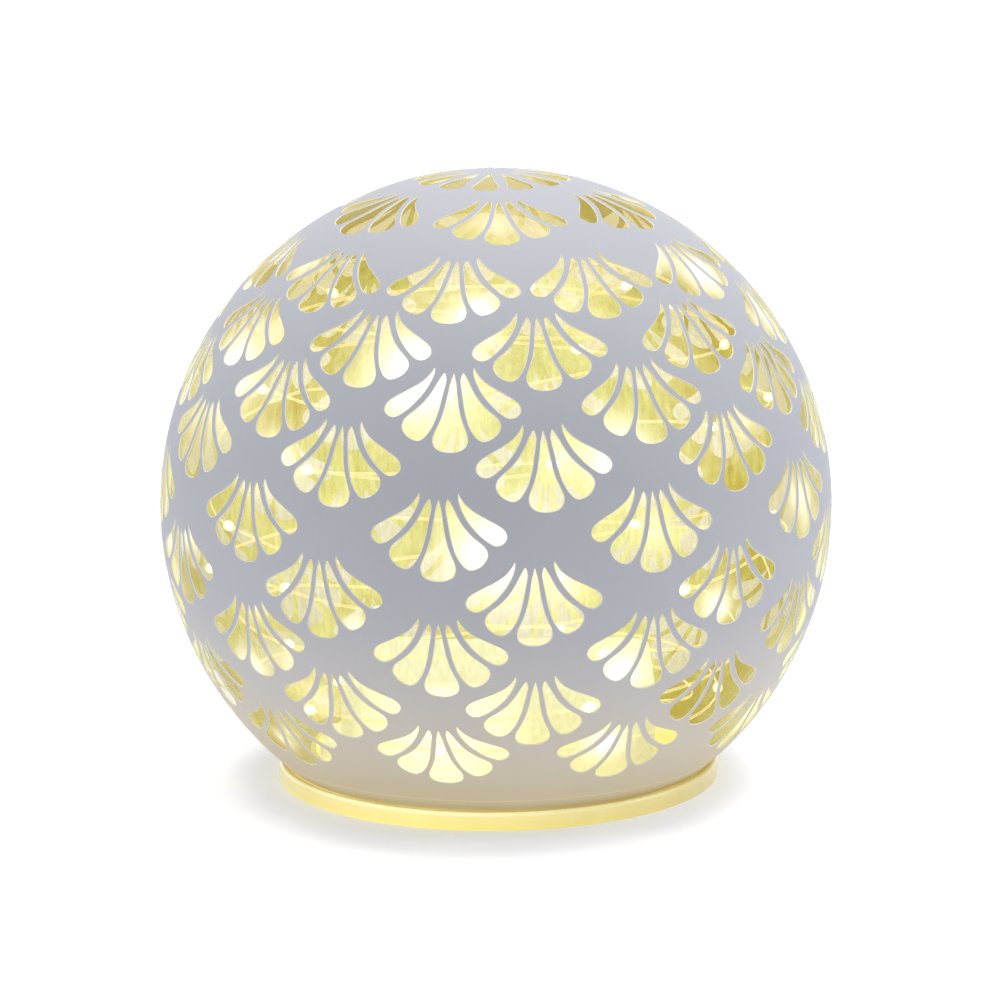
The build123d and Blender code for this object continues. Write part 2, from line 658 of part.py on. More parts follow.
def joining_arcs(start, start_way, end, end_way):
    """Two tangent arcs from one point and direction to another."""
    chord = end - start
    ways = start_way + end_way
    spread = 2 * (1 - start_way.dot(end_way))
    along = chord.dot(ways)
    reach = (sqrt(along**2 + spread * chord.dot(chord)) - along) / spread
    near = start + start_way * reach
    far = end - end_way * reach
    middle = (near + far) * 0.5
    TangentArc(start, middle, tangent=start_way)
    TangentArc(middle, end, tangent=(far - near).normalized())


# Lights sit at the places that the string passes and at about even steps between them
bead_turns = []
for (turn_low, lat_low), (turn_high, lat_high) in zip(WIRE_PLACES, WIRE_PLACES[1:]):
    run = 2 * pi * (turn_high - turn_low) * glass_inner * cos(radians((lat_low + lat_high) / 2))
    steps = max(1, round(run / BEAD_PITCH))
    bead_turns += [turn_low + (turn_high - turn_low) * (k + 1) / steps for k in range(steps)]

# String of lights: one wire from the board through the bush, then round the ball from light to light
board_end = Vector(circuit_x, 0, board_top)
bend_start = Vector(circuit_x, 0, bush_z - WIRE_BEND)
bend_end = Vector(circuit_x + WIRE_BEND, 0, bush_z)
lead_out = Vector(bush_outer_x + WIRE_LEAD_OUT, 0, bush_z)
string_turns = [WIRE_PLACES[0][0]] + bead_turns
with BuildPart() as led_wire:
    with BuildLine() as wire_path:
        Line(board_end, bend_start)
        TangentArc(bend_start, bend_end, tangent=(0, 0, 1))
        Line(bend_end, lead_out)
        first_turn = string_turns[0]
        joining_arcs(lead_out, Vector(1, 0, 0), string_point(first_turn), string_direction(first_turn))
        for this_turn, next_turn in zip(string_turns, string_turns[1:]):
            joining_arcs(
                string_point(this_turn),
                string_direction(this_turn),
                string_point(next_turn),
                string_direction(next_turn),
            )
    with BuildSketch(Plane(origin=board_end, z_dir=(0, 0, 1))):
        RegularPolygon(WIRE_DIAMETER / 2, 6)
    sweep(path=wire_path.line)

# Least gap of the wire to itself, measured on points a millimetre or so apart
string_wire = wire_path.wire()
wire_length = string_wire.length
point_count = round(wire_length / 1.5)
wire_points = [tuple(string_wire.position_at(k / point_count)) for k in range(point_count + 1)]
least = BALL_DIAMETER
for i, near in enumerate(wire_points):
    for far in wire_points[i + 20 :]:
        least = min(least, dist(near, far))
print(f"string: {wire_length:.0f} mm of wire with {len(bead_turns)} lights")
print(f"least gap of the wire to itself: {least - WIRE_DIAMETER:.2f} mm")

# Light beads: clear resin drops moulded on the wire
with BuildPart() as led_beads:
    drops = []
    for turn in bead_turns:
        for shift, radius in (
            (-BEAD_LENGTH / 2, BEAD_END_RADIUS),
            (-BEAD_LENGTH / 4, BEAD_RADIUS),
            (BEAD_LENGTH / 4, BEAD_RADIUS),
            (BEAD_LENGTH / 2, BEAD_END_RADIUS),
        ):
            along = string_direction(turn)
            with BuildSketch(Plane(origin=string_point(turn) + along * shift, z_dir=along)):
                RegularPolygon(radius, 6)
        drops.append(loft(ruled=True, mode=Mode.PRIVATE))
    add(drops)

pieces = {
    "glass_globe": glass_globe,
    "lacquer_coat": lacquer_coat,
    "base_plate": base_plate,
    "glue_seal": glue_seal,
    "battery_housing": battery_housing,
    "battery_door": battery_door,
    "contact_plates": contact_plates,
    "contact_springs": contact_springs,
    "battery_leads": battery_leads,
    "circuit_board": circuit_board,
    "timer_chip": timer_chip,
    "capacitor": capacitor,
    "switch_body": switch_body,
    "switch_slider": switch_slider,
    "housing_screws": housing_screws,
    "wire_grommet": wire_grommet,
    "led_wire": led_wire,
    "led_beads": led_beads,
    **cells,
}
os.makedirs("parts", exist_ok=True)
for label, piece in pieces.items():
    piece.part.label = label
    export_step(piece.part, f"parts/{label}.step")
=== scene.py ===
from math import cos, exp, hypot, pi, radians, sin, sqrt

import bmesh
import bpy
from mathutils import Matrix, Vector, kdtree


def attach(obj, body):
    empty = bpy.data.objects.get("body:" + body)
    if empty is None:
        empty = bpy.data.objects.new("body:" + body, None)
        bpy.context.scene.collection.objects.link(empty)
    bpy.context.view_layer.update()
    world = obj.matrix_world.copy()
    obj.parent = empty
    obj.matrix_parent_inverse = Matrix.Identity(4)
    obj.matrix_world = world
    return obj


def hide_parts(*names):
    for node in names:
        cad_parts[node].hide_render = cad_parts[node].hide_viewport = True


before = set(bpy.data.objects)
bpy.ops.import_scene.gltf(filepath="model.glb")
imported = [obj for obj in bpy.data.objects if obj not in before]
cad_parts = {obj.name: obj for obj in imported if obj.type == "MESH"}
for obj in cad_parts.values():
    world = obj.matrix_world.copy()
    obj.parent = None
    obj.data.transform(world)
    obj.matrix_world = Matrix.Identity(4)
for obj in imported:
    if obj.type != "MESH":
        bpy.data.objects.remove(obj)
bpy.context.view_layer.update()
scene = bpy.context.scene
scene.view_settings.view_transform = "Standard"
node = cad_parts


# Clear base: one moulding of clear plastic with the foot ring, web, rim and collar.
# It stands on the foot ring and carries the ball in its rim; its glow is painted, as if lit by the
# lights inside.
# The battery door in its underside is moulded in the same plastic.
class Layer:
    """A value in one material's nodes: the operators add Math nodes, and node() adds any other."""

    def __init__(self, tree, socket=None):
        self.tree = tree
        self.socket = socket

    def node(self, kind, settings=None, result=0, **values):
        """Adds a node. Its inputs are keywords: their names, or in0, in1 and so on by number."""
        new = self.tree.nodes.new("ShaderNode" + kind)
        for key, value in (settings or {}).items():
            if key == "stops":
                for place, _ in value[1:-1]:
                    new.color_ramp.elements.new(place)
                for stop, (place, colour) in zip(new.color_ramp.elements, value):
                    stop.position = place
                    stop.color = (*colour, 1)
            else:
                setattr(new, key, value)
        for key, value in values.items():
            numbered = key.startswith("in") and key[2:].isdigit()
            entry = new.inputs[int(key[2:]) if numbered else key.replace("_", " ")]
            if isinstance(value, Layer):
                self.tree.links.new(value.socket, entry)
            else:
                entry.default_value = value
        return Layer(self.tree, new.outputs[result])

    def math(self, operation, first, second=0.0):
        return self.node("Math", {"operation": operation}, in0=first, in1=second)

    def clamp(self, value):
        return self.math("MAXIMUM", self.math("MINIMUM", value, 1.0), 0.0)

    def mix(self, factor, first, second):
        return self.node("Mix", {"data_type": "RGBA"}, 2, in0=factor, in6=first, in7=second)

    def axis(self, place, letter):
        return self.node("SeparateXYZ", result=letter, Vector=place)

    def length(self, place):
        return self.node("VectorMath", {"operation": "LENGTH"}, 1, in0=place)

    def distance(self, place, spot):
        return self.node("VectorMath", {"operation": "DISTANCE"}, 1, in0=place, in1=spot)

    def __add__(self, other):
        return self.math("ADD", self, other)

    def __sub__(self, other):
        return self.math("SUBTRACT", self, other)

    def __rsub__(self, other):
        return self.math("SUBTRACT", other, self)

    def __mul__(self, other):
        return self.math("MULTIPLY", self, other)

    __radd__ = __add__
    __rmul__ = __mul__


def new_finish(name):
    """An empty material, as (material, its nodes, Object coordinates)."""
    material = bpy.data.materials.new(name)
    material.use_nodes = True
    material.node_tree.nodes.clear()
    nodes = Layer(material.node_tree)
    return material, nodes, nodes.node("TexCoord", result="Object")


def finish_with(nodes, surface):
    """Sends a shader to the material's output."""
    output = nodes.tree.nodes.new("ShaderNodeOutputMaterial")
    nodes.tree.links.new(surface.socket, output.inputs["Surface"])


def paint(obj, *materials):
    """Gives a piece its materials, in the order of its slots."""
    obj.data.materials.clear()
    for material in materials:
        obj.data.materials.append(material)


foot_height, web_top, ring_inside = 0.004, 0.0025, 0.0455
first_light_spot, first_light_reach = (-0.0136, -0.0418, 0.014), 0.065
# Painted glow up the foot ring, with a painted highlight along its rounded top edge and painted
# shade on its top face.
painted_foot_glow = [
    (0.0, (1.0, 0.84, 0.14)),
    (0.7, (0.92, 0.80, 0.28)),
    (0.86, (1.0, 0.98, 0.55)),
    (0.97, (1.0, 0.98, 0.6)),
    (1.0, (0.2, 0.15, 0.05)),
]
clear_plastic, nodes, place = new_finish("clear_plastic")
cloud = nodes.node("TexNoise", Vector=place, Scale=160.0, Detail=3.0)
height = nodes.axis(place, "Z")
painted_glow = nodes.node("ValToRGB", {"stops": painted_foot_glow}, Fac=height * (1 / foot_height))
# The glow is brighter as a painted pool of light near the first light. Farther off it fades to a
# faint painted glow, paler on the faces inside the ring.
near = nodes.clamp(1.0 - nodes.distance(place, first_light_spot) * (1 / first_light_reach))
flat = nodes.node("VectorMath", {"operation": "MULTIPLY"}, in0=place, in1=(1.0, 1.0, 0.0))
within = nodes.math("LESS_THAN", nodes.length(flat), ring_inside)
inside = within * nodes.math("GREATER_THAN", height, web_top)
faint_painted_glow = nodes.mix(inside, (0.18, 0.12, 0.03, 1), (0.66, 0.64, 0.36, 1))
surface = nodes.node(
    "BsdfPrincipled",
    Base_Color=nodes.mix(cloud, (0.80, 0.71, 0.30, 1), (0.85, 0.78, 0.39, 1)),
    Roughness=0.14 + cloud * 0.12,
    IOR=1.49,
    Emission_Color=nodes.mix(near * 1.2 + cloud * 0.2 - 0.1, faint_painted_glow, painted_glow),
    Emission_Strength=0.6,
    Coat_Weight=0.4,
    Coat_Roughness=0.06,
)
finish_with(nodes, surface)
paint(node["base_plate"], clear_plastic)
paint(node["battery_door"], clear_plastic)

# Silicone: a cloudy bead that was run between the collar and the glass neck.
# It holds the ball down on the base.
silicone, nodes, place = new_finish("silicone")
streak = nodes.node("TexNoise", Vector=place, Scale=240.0, Detail=2.0)
bump = nodes.node("Bump", result="Normal", Strength=0.4, Distance=0.0002, Height=streak)
surface = nodes.node(
    "BsdfPrincipled",
    Base_Color=nodes.mix(streak, (0.74, 0.70, 0.58, 1), (0.86, 0.83, 0.72, 1)),
    Roughness=0.35 + streak * 0.2,
    Normal=bump,
)
finish_with(nodes, surface)
paint(node["glue_seal"], silicone)

# Battery housing: a pale moulded box, screwed to the base from below.
# Its satin skin has a fine spark-eroded grain; it has a faint painted glow all over and a painted
# pool of light at its front, from the light in front of it.
front_spot, front_reach, front_slope = (-0.0127, -0.0406, 0.0158), 0.026, 110.0
pale_plastic, nodes, place = new_finish("pale_plastic")
grain = nodes.node("TexNoise", Vector=place, Scale=1800.0, Detail=2.0)
patch = nodes.node("TexNoise", Vector=place, Scale=60.0, Detail=2.0)
bump = nodes.node("Bump", result="Normal", Strength=0.25, Distance=0.0001, Height=grain)
painted_front_light = nodes.clamp((front_reach - nodes.distance(place, front_spot)) * front_slope)
surface = nodes.node(
    "BsdfPrincipled",
    Base_Color=nodes.mix(patch, (0.87, 0.87, 0.79, 1), (0.93, 0.93, 0.86, 1)),
    Roughness=0.42 + grain * 0.15,
    Normal=bump,
    Emission_Color=nodes.mix(painted_front_light, (0.75, 0.88, 1.0, 1), (2.4, 2.4, 2.2, 1)),
    Emission_Strength=0.52,
)
finish_with(nodes, surface)
paint(node["battery_housing"], pale_plastic)

# Cells: three AA cells in dark film jackets, copper-coloured at one end.
# They drop in through the door and lie between the contacts.
copper_end = -0.012
cell_jacket, nodes, place = new_finish("cell_jacket")
scuff = nodes.node("TexNoise", Vector=place, Scale=300.0, Detail=4.0)
band = nodes.math("LESS_THAN", nodes.axis(place, "X"), copper_end)
jacket = nodes.mix(band, (0.03, 0.05, 0.09, 1), (0.62, 0.42, 0.16, 1))
surface = nodes.node(
    "BsdfPrincipled",
    Base_Color=nodes.mix(scuff * 0.25, jacket, (0.40, 0.40, 0.42, 1)),
    Roughness=0.22 + scuff * 0.2,
    Metallic=0.35,
)
finish_with(nodes, surface)
for name in ("cell_front", "cell_middle", "cell_back"):
    paint(node[name], cell_jacket)

# Contacts: plates and bent leaves of nickel-plated spring steel.
# They clip on the end walls of the cell bay and press on the cells.
contact_metal, nodes, place = new_finish("contact_metal")
stretch = nodes.node("Mapping", Vector=place, Scale=(400.0, 400.0, 4000.0))
brush = nodes.node("TexNoise", Vector=stretch, Scale=1.0, Detail=3.0)
surface = nodes.node(
    "BsdfPrincipled",
    Base_Color=nodes.mix(brush, (0.58, 0.57, 0.53, 1), (0.78, 0.77, 0.74, 1)),
    Roughness=0.22 + brush * 0.18,
    Metallic=1.0,
)
finish_with(nodes, surface)
paint(node["contact_plates"], contact_metal)
paint(node["contact_springs"], contact_metal)

# Screws: four zinc-plated pan heads that hold the housing to the base.
# Their plating is slightly uneven.
screw_steel, nodes, place = new_finish("screw_steel")
wear = nodes.node("TexNoise", Vector=place, Scale=900.0, Detail=3.0)
surface = nodes.node(
    "BsdfPrincipled",
    Base_Color=nodes.mix(wear, (0.50, 0.50, 0.48, 1), (0.72, 0.72, 0.70, 1)),
    Roughness=0.28 + wear * 0.2,
    Metallic=1.0,
)
finish_with(nodes, surface)
paint(node["housing_screws"], screw_steel)

# Leads: two stranded wires in red covers, soldered to a contact and to the board.
# The cover is soft and slightly shiny.
lead_cover, nodes, place = new_finish("lead_cover")
mottle = nodes.node("TexNoise", Vector=place, Scale=500.0, Detail=2.0)
surface = nodes.node(
    "BsdfPrincipled",
    Base_Color=nodes.mix(mottle, (0.36, 0.02, 0.015, 1), (0.48, 0.04, 0.03, 1)),
    Roughness=0.32 + mottle * 0.15,
)
finish_with(nodes, surface)
paint(node["battery_leads"], lead_cover)

# Circuit board: glass-fibre laminate under green solder mask, staked on the bosses.
# It carries the timer chip, a capacitor and the slide switch.
board_mask, nodes, place = new_finish("board_mask")
weave = nodes.node("TexChecker", result="Fac", Vector=place, Scale=1400.0)
tone = nodes.node("TexNoise", Vector=place, Scale=200.0, Detail=3.0)
bump = nodes.node("Bump", result="Normal", Strength=0.15, Distance=0.00005, Height=weave)
surface = nodes.node(
    "BsdfPrincipled",
    Base_Color=nodes.mix(tone, (0.012, 0.10, 0.035, 1), (0.03, 0.17, 0.06, 1)),
    Roughness=0.25 + tone * 0.2,
    Normal=bump,
)
finish_with(nodes, surface)
paint(node["circuit_board"], board_mask)

# Chip, switch and bush: black mouldings, from epoxy resin to soft rubber.
# The chip and switch are soldered to the board, and the bush snaps into the housing's wall.
for name, tone_low, tone_high, rough in (
    ("timer_chip", 0.010, 0.022, 0.55),
    ("switch_body", 0.012, 0.025, 0.42),
    ("switch_slider", 0.015, 0.030, 0.38),
    ("wire_grommet", 0.010, 0.020, 0.70),
):
    black, nodes, place = new_finish(name + "_black")
    grain = nodes.node("TexNoise", Vector=place, Scale=2200.0, Detail=2.0)
    bump = nodes.node("Bump", result="Normal", Strength=0.3, Distance=0.00008, Height=grain)
    surface = nodes.node(
        "BsdfPrincipled",
        Base_Color=nodes.mix(grain, (tone_low,) * 3 + (1,), (tone_high,) * 3 + (1,)),
        Roughness=rough + grain * 0.12,
        Normal=bump,
    )
    finish_with(nodes, surface)
    paint(node[name], black)

# Capacitor: an aluminium can in a dark shrunk sleeve, standing on the board.
# The bare top shows inside the sleeve's turned-in edge.
sleeve_top = 0.01475
can_sleeve, nodes, place = new_finish("can_sleeve")
top = nodes.math("GREATER_THAN", nodes.axis(place, "Z"), sleeve_top)
crease = nodes.node("TexNoise", Vector=place, Scale=700.0, Detail=2.0)
sleeve = nodes.mix(crease, (0.02, 0.025, 0.05, 1), (0.04, 0.05, 0.09, 1))
surface = nodes.node(
    "BsdfPrincipled",
    Base_Color=nodes.mix(top, sleeve, (0.62, 0.62, 0.63, 1)),
    Roughness=0.24 + crease * 0.15,
    Metallic=top,
)
finish_with(nodes, surface)
paint(node["capacitor"], can_sleeve)

# String of lights: two thin enamelled strands that run side by side from the board, through the
# bush and round the inside of the ball in loose turns. They are stiff enough to keep their shape.
# Lengths are in millimetres, and a place on the string is a number of turns and a latitude.
MM = 0.001
ball_z = 61.959
glass_radius, glass_wall = 74.75, 2.0
light_step = 84.0
string_radius, string_wander, wander_rate = 65.75, 1.5, 1.62
sway, sway_phase = 1.9, 2.4
strand_radius, strand_shift = 0.12, 0.2
steps_a_turn = 56
string_places = [
    (0.35, -45.0), (0.95, -47.5), (1.25, -41.0), (1.86, -35.9), (3.06, -18.4),
    (4.11, -8.4), (5.00, 3.8), (6.06, 18.3), (6.83, 28.8), (6.96, 33.1),
    (7.99, 44.0), (8.18, 48.1), (9.14, 54.8),
]
string_runs = list(zip(string_places, string_places[1:]))
first_turn, last_turn = string_places[0][0], string_places[-1][0]
light_turns = [first_turn]
for (turn_low, lat_low), (turn_high, lat_high) in string_runs:
    across = cos(radians((lat_low + lat_high) / 2))
    run = 2 * pi * (turn_high - turn_low) * (glass_radius - glass_wall) * across
    steps = max(1, round(run / light_step))
    light_turns += [turn_low + (turn_high - turn_low) * (k + 1) / steps for k in range(steps)]


def string_point(turn):
    """Point on the loosely wound string, after a number of turns from the front."""
    for (turn_low, lat_low), (turn_high, lat_high) in string_runs:
        if turn <= turn_high:
            break
    lat = lat_low + (lat_high - lat_low) * (turn - turn_low) / (turn_high - turn_low)
    for k, (light_low, light_high) in enumerate(zip(light_turns, light_turns[1:])):
        if turn <= light_high:
            break
    swing = 2 * pi * (turn - light_low) / (light_high - light_low)
    lat += sway * cos(radians(lat)) * cos(sway_phase * k) * (1 - cos(swing))
    lat, lon = radians(lat), radians(360 * turn)
    reach = string_radius - string_wander * (1 - cos(2 * pi * wander_rate * turn))
    x, y = cos(lat) * sin(lon) * reach, -cos(lat) * cos(lon) * reach
    return Vector((x, y, sin(lat) * reach + ball_z))


def eased(a, way_a, b, way_b, count):
    """Points of a smooth bend between two points and directions."""
    pull = (b - a).length * 0.4
    near, far = a + way_a * pull, b - way_b * pull
    bend = []
    for s in [k / count for k in range(1, count)]:
        r = 1 - s
        bend.append(a * r**3 + near * 3 * s * r**2 + far * 3 * s * s * r + b * s**3)
    return bend


out_x, up_z = Vector((1, 0, 0)), Vector((0, 0, 1))
board_end, lead_top = Vector((28.75, 0, 9.8)), Vector((28.75, 0, 13.0))
bush_inside, bush_outside = Vector((31.75, 0, 16.0)), Vector((38.75, 0, 16.0))
first_point = string_point(first_turn)
first_way = (string_point(first_turn + 0.01) - first_point).normalized()
turn_steps = round((last_turn - first_turn) * steps_a_turn)
route = [board_end, lead_top, *eased(lead_top, up_z, bush_inside, out_x, count=5)]
route += [bush_inside, bush_outside]
route += eased(bush_outside, out_x, first_point, first_way, count=12)
for k in range(turn_steps + 1):
    route.append(string_point(first_turn + (last_turn - first_turn) * k / turn_steps))


def strand(name, shift):
    """One strand of the wire as a mesh: a round bevel along the route, shifted to its side."""
    curve = bpy.data.curves.new(name, "CURVE")
    curve.dimensions = "3D"
    curve.bevel_depth = strand_radius * MM
    curve.bevel_resolution = 1
    curve.use_fill_caps = True
    line = curve.splines.new("POLY")
    line.points.add(len(route) - 1)
    for k, point in enumerate(route):
        way = (route[min(k + 1, len(route) - 1)] - route[max(k - 1, 0)]).normalized()
        side = way.cross(Vector((point.x, point.y, 0.001)).normalized()).normalized()
        line.points[k].co = (*((point + side * shift) * MM), 1)
    rod = bpy.data.objects.new(name + "_rod", curve)
    scene.collection.objects.link(rod)
    shaped = rod.evaluated_get(bpy.context.evaluated_depsgraph_get())
    mesh = bpy.data.meshes.new_from_object(shaped)
    bpy.data.objects.remove(rod)
    mesh.name = name
    for face in mesh.polygons:
        face.use_smooth = True
    return mesh


def add_piece(name, mesh):
    """Links a mesh as a piece of the lamp at the origin."""
    piece = bpy.data.objects.new(name, mesh)
    scene.collection.objects.link(piece)
    return piece


# The wire has a painted warm glow, as if lit by the lights along it.
string_wire, nodes, place = new_finish("string_wire")
tarnish = nodes.node("TexNoise", Vector=place, Scale=400.0, Detail=2.0)
surface = nodes.node(
    "BsdfPrincipled",
    Base_Color=nodes.mix(tarnish, (0.82, 0.68, 0.38, 1), (0.95, 0.86, 0.60, 1)),
    Roughness=0.18 + tarnish * 0.15,
    Metallic=0.8,
    Emission_Color=(1.0, 0.98, 0.78, 1),
    Emission_Strength=0.65,
)
finish_with(nodes, surface)
for name, shift in (("string_strand_left", -strand_shift), ("string_strand_right", strand_shift)):
    wire = add_piece(name, strand(name, shift))
    paint(wire, string_wire)
    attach(wire, "lamp")
    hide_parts("led_wire")

# Light beads: drops of clear resin cast over a tiny lit chip, at even steps along the wire.
# Each drop is a spindle that tapers on to the two strands. The light that the drops throw on the
# walls of the ball is kept with those walls, and some drops throw it wider than others.
drop_radius, drop_stretch, drop_turn = 1.4, (0.86, 0.86, 1.28), 0.03
usual_spread = 0.9
own_spread = {
    1: 1.2, 5: 0.6, 11: 1.1, 16: 0.6, 17: 0.8, 22: 2.0,
    23: 0.7, 27: 1.2, 28: 1.5, 32: 2.1, 33: 2.3, 38: 1.3,
}
light_shell, lights_in_reach = 64.5, 3
centre = Vector((0, 0, ball_z * MM))
light_tree = kdtree.KDTree(len(light_turns) - 1)
beads = bmesh.new()
for k, turn in enumerate(light_turns[1:]):
    spot = string_point(turn) * MM
    light_tree.insert(spot, k)
    way = string_point(turn + drop_turn) - string_point(turn - drop_turn)
    lie = way.to_track_quat("Z", "Y").to_matrix().to_4x4()
    drop = bmesh.ops.create_uvsphere(beads, u_segments=12, v_segments=8, radius=drop_radius * MM)
    bmesh.ops.scale(beads, vec=drop_stretch, verts=drop["verts"])
    bmesh.ops.transform(beads, matrix=Matrix.Translation(spot) @ lie, verts=drop["verts"])
light_tree.balance()
bead_mesh = bpy.data.meshes.new("light_drops")
beads.to_mesh(bead_mesh)
beads.free()
for face in bead_mesh.polygons:
    face.use_smooth = True
light_drops = add_piece("light_drops", bead_mesh)
light_resin, nodes, place = new_finish("light_resin")
swirl = nodes.node("TexNoise", Vector=place, Scale=900.0, Detail=2.0)
chip = nodes.node(
    "BsdfPrincipled",
    Base_Color=(1.0, 0.97, 0.82, 1),
    Roughness=0.08 + swirl * 0.1,
    Emission_Color=nodes.mix(swirl, (1.0, 0.92, 0.66, 1), (1.0, 0.98, 0.88, 1)),
    Emission_Strength=3.0,
)
resin = nodes.node("BsdfTransparent", Color=(1.0, 0.98, 0.90, 1))
rim = nodes.node("LayerWeight", result="Facing", Blend=0.5)
clear_rim = nodes.math("POWER", rim, 0.4)
finish_with(nodes, nodes.node("MixShader", in0=clear_rim, in1=chip, in2=resin))
paint(light_drops, light_resin)
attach(light_drops, "lamp")
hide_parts("led_beads")


def store_light(mesh, reach):
    """Keeps the light thrown on a wall of the ball as the attribute string_light, 0 to 1."""
    light = mesh.attributes.new("string_light", "FLOAT", "POINT")
    for vertex in mesh.vertices:
        across = centre + (vertex.co - centre).normalized() * light_shell * MM
        painted_glow = 0
        for _, k, gap in light_tree.find_n(across, lights_in_reach):
            painted_glow += exp(-((gap / reach / own_spread.get(k, usual_spread)) ** 2))
        light.data[vertex.index].value = min(1.0, painted_glow)


# Glass ball: blown amber glass about 2 mm thick, its neck cut and ground flat below.
# It sits in the base's rim, glued to the collar. Its tint is deeper in fine strokes, towards the
# crown and where it is seen at a slant, and the lights make bright patches on it.
neck_z, glass_light_reach = 3.2, 5.2
crown_from, crown_slope = 0.1, 33.0


def ball_shell(radius, wall, low_z):
    """A shell about the ball's centre with its wall inwards, cut off below a height."""
    shell = bmesh.new()
    bmesh.ops.create_uvsphere(shell, u_segments=160, v_segments=100, radius=radius * MM)
    bmesh.ops.translate(shell, vec=(0, 0, ball_z * MM), verts=shell.verts)
    bmesh.ops.bisect_plane(
        shell,
        geom=[*shell.verts, *shell.edges, *shell.faces],
        plane_co=(0, 0, low_z * MM),
        plane_no=(0, 0, -1),
        clear_outer=True,
    )
    bmesh.ops.recalc_face_normals(shell, faces=shell.faces)
    bmesh.ops.solidify(shell, geom=shell.faces[:], thickness=wall * MM)
    return shell


shell = ball_shell(glass_radius, glass_wall, neck_z)
glass_mesh = bpy.data.meshes.new("glass_ball")
shell.to_mesh(glass_mesh)
shell.free()
for face in glass_mesh.polygons:
    face.use_smooth = abs(face.normal.z + 1) > 0.001
store_light(glass_mesh, glass_light_reach * MM)
glass_ball = add_piece("glass_ball", glass_mesh)
amber_glass, nodes, place = new_finish("amber_glass")
ripple = nodes.node("TexNoise", Vector=place, Scale=22.0, Detail=2.0)
bump = nodes.node("Bump", result="Normal", Strength=0.25, Distance=0.002, Height=ripple)
lie = nodes.node(
    "Mapping", Vector=place, Rotation=(0.0, 0.35, 0.0), Scale=(1100.0, 1100.0, 120.0)
)
strokes = nodes.node("TexNoise", Vector=lie, Scale=1.0, Detail=3.0)
facing = nodes.node("LayerWeight", result="Facing", Blend=0.5)
pale_wall = nodes.node("BsdfTransparent", Color=(0.90, 0.885, 0.80, 1))
deep_wall = nodes.node("BsdfTransparent", Color=(0.835, 0.81, 0.67, 1))
limb_wall = nodes.node("BsdfTransparent", Color=(0.81, 0.78, 0.67, 1))
crown_wall = nodes.node("BsdfTransparent", Color=(0.815, 0.775, 0.62, 1))
depth = strokes * 2.6 - 1.1 + facing * 1.3
tinted = nodes.node("MixShader", in0=depth, in1=pale_wall, in2=deep_wall)
slanted = nodes.math("POWER", facing, 2.5) * 1.3
thick = nodes.node("MixShader", in0=slanted, in1=tinted, in2=limb_wall)
crown = nodes.clamp((nodes.axis(place, "Z") - crown_from) * crown_slope)
crown_depth = crown * (0.5 + strokes * 0.6)
see_through = nodes.node("MixShader", in0=crown_depth, in1=thick, in2=crown_wall)
shine = nodes.node("BsdfGlossy", Color=(1.0, 1.0, 1.0, 1), Roughness=0.03, Normal=bump)
edge = 0.025 + nodes.math("POWER", facing, 5.0) * 0.35
clear_wall = nodes.node("MixShader", in0=edge, in1=see_through, in2=shine)
halo = nodes.node("Attribute", {"attribute_name": "string_light"}, "Fac")
halo_core = nodes.math("POWER", halo, 3.0)
glare = nodes.node(
    "BsdfPrincipled",
    Base_Color=(0.0, 0.0, 0.0, 1),
    Specular_IOR_Level=0.0,
    Emission_Color=nodes.mix(halo_core, (1.0, 0.95, 0.66, 1), (1.0, 1.0, 0.98, 1)),
    Emission_Strength=1.6,
)
bright = nodes.math("POWER", halo, 1.6) * 0.75
finish_with(nodes, nodes.node("MixShader", in0=bright, in1=clear_wall, in2=glare))
paint(glass_ball, amber_glass)
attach(glass_ball, "lamp")
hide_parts("glass_globe")

# Lacquer: a matt grey-white spray on the outside of the glass, masked so that fans of five
# petals stay clear, each with a finely flared edge. Its back has a painted glow, as if lit by the
# lights inside, and a painted warm glow brightens it towards the base. Outlines of petals lie on
# the ball, in millimetres to the right and up.
coat_radius, coat_wall, coat_low_z = 75.0, 0.2, 3.6
edge_outside, edge_inside = -0.04, -0.24
cut_from, flare_from, flare_to, cut_to = 70.0, 74.78, 75.02, 78.0
coat_light_reach = 15
middle_petal = [
    (0.0, 8.6), (0.5, 7.0), (0.85, 5.5), (1.05, 4.0), (1.3, 2.5), (1.55, 1.0), (1.9, -0.5),
    (2.35, -2.0), (2.95, -3.5), (3.65, -5.0), (3.95, -6.4), (3.5, -8.0), (2.0, -8.95), (0.0, -9.2),
]
middle_petal += [(-u, v) for u, v in reversed(middle_petal[1:-1])]
inner_petal = [
    (1.95, 8.8), (1.3, 7.0), (1.5, 5.5), (1.8, 4.0), (2.1, 2.5), (2.35, 1.0), (2.7, -0.5),
    (3.15, -2.0), (3.7, -3.5), (4.6, -5.0), (5.6, -6.2), (6.9, -6.8), (8.6, -6.2), (10.0, -5.0),
    (10.7, -3.4), (10.3, -1.9), (9.2, -0.8), (7.5, 0.5), (6.1, 1.9), (4.9, 3.5), (4.0, 5.1),
    (3.2, 6.7),
]
outer_petal = [
    (4.1, 9.8), (3.9, 8.4), (4.4, 6.8), (5.2, 5.1), (6.2, 3.5), (7.5, 1.9), (9.0, 0.4),
    (10.7, -0.9), (12.0, -1.5), (13.3, -1.3), (14.4, -0.3), (14.6, 1.0), (13.7, 2.5), (11.0, 4.0),
    (8.1, 5.5), (6.0, 7.0), (4.8, 8.6),
]
rosette_petal = [
    (0.0, -4.0), (-0.5, -5.5), (-0.9, -7.5), (-1.3, -9.5), (-1.9, -11.5), (-2.6, -13.2),
    (-3.1, -14.8), (-2.8, -16.4), (-1.6, -17.2), (0.0, -17.4),
]
rosette_petal += [(-u, v) for u, v in reversed(rosette_petal[1:-1])]


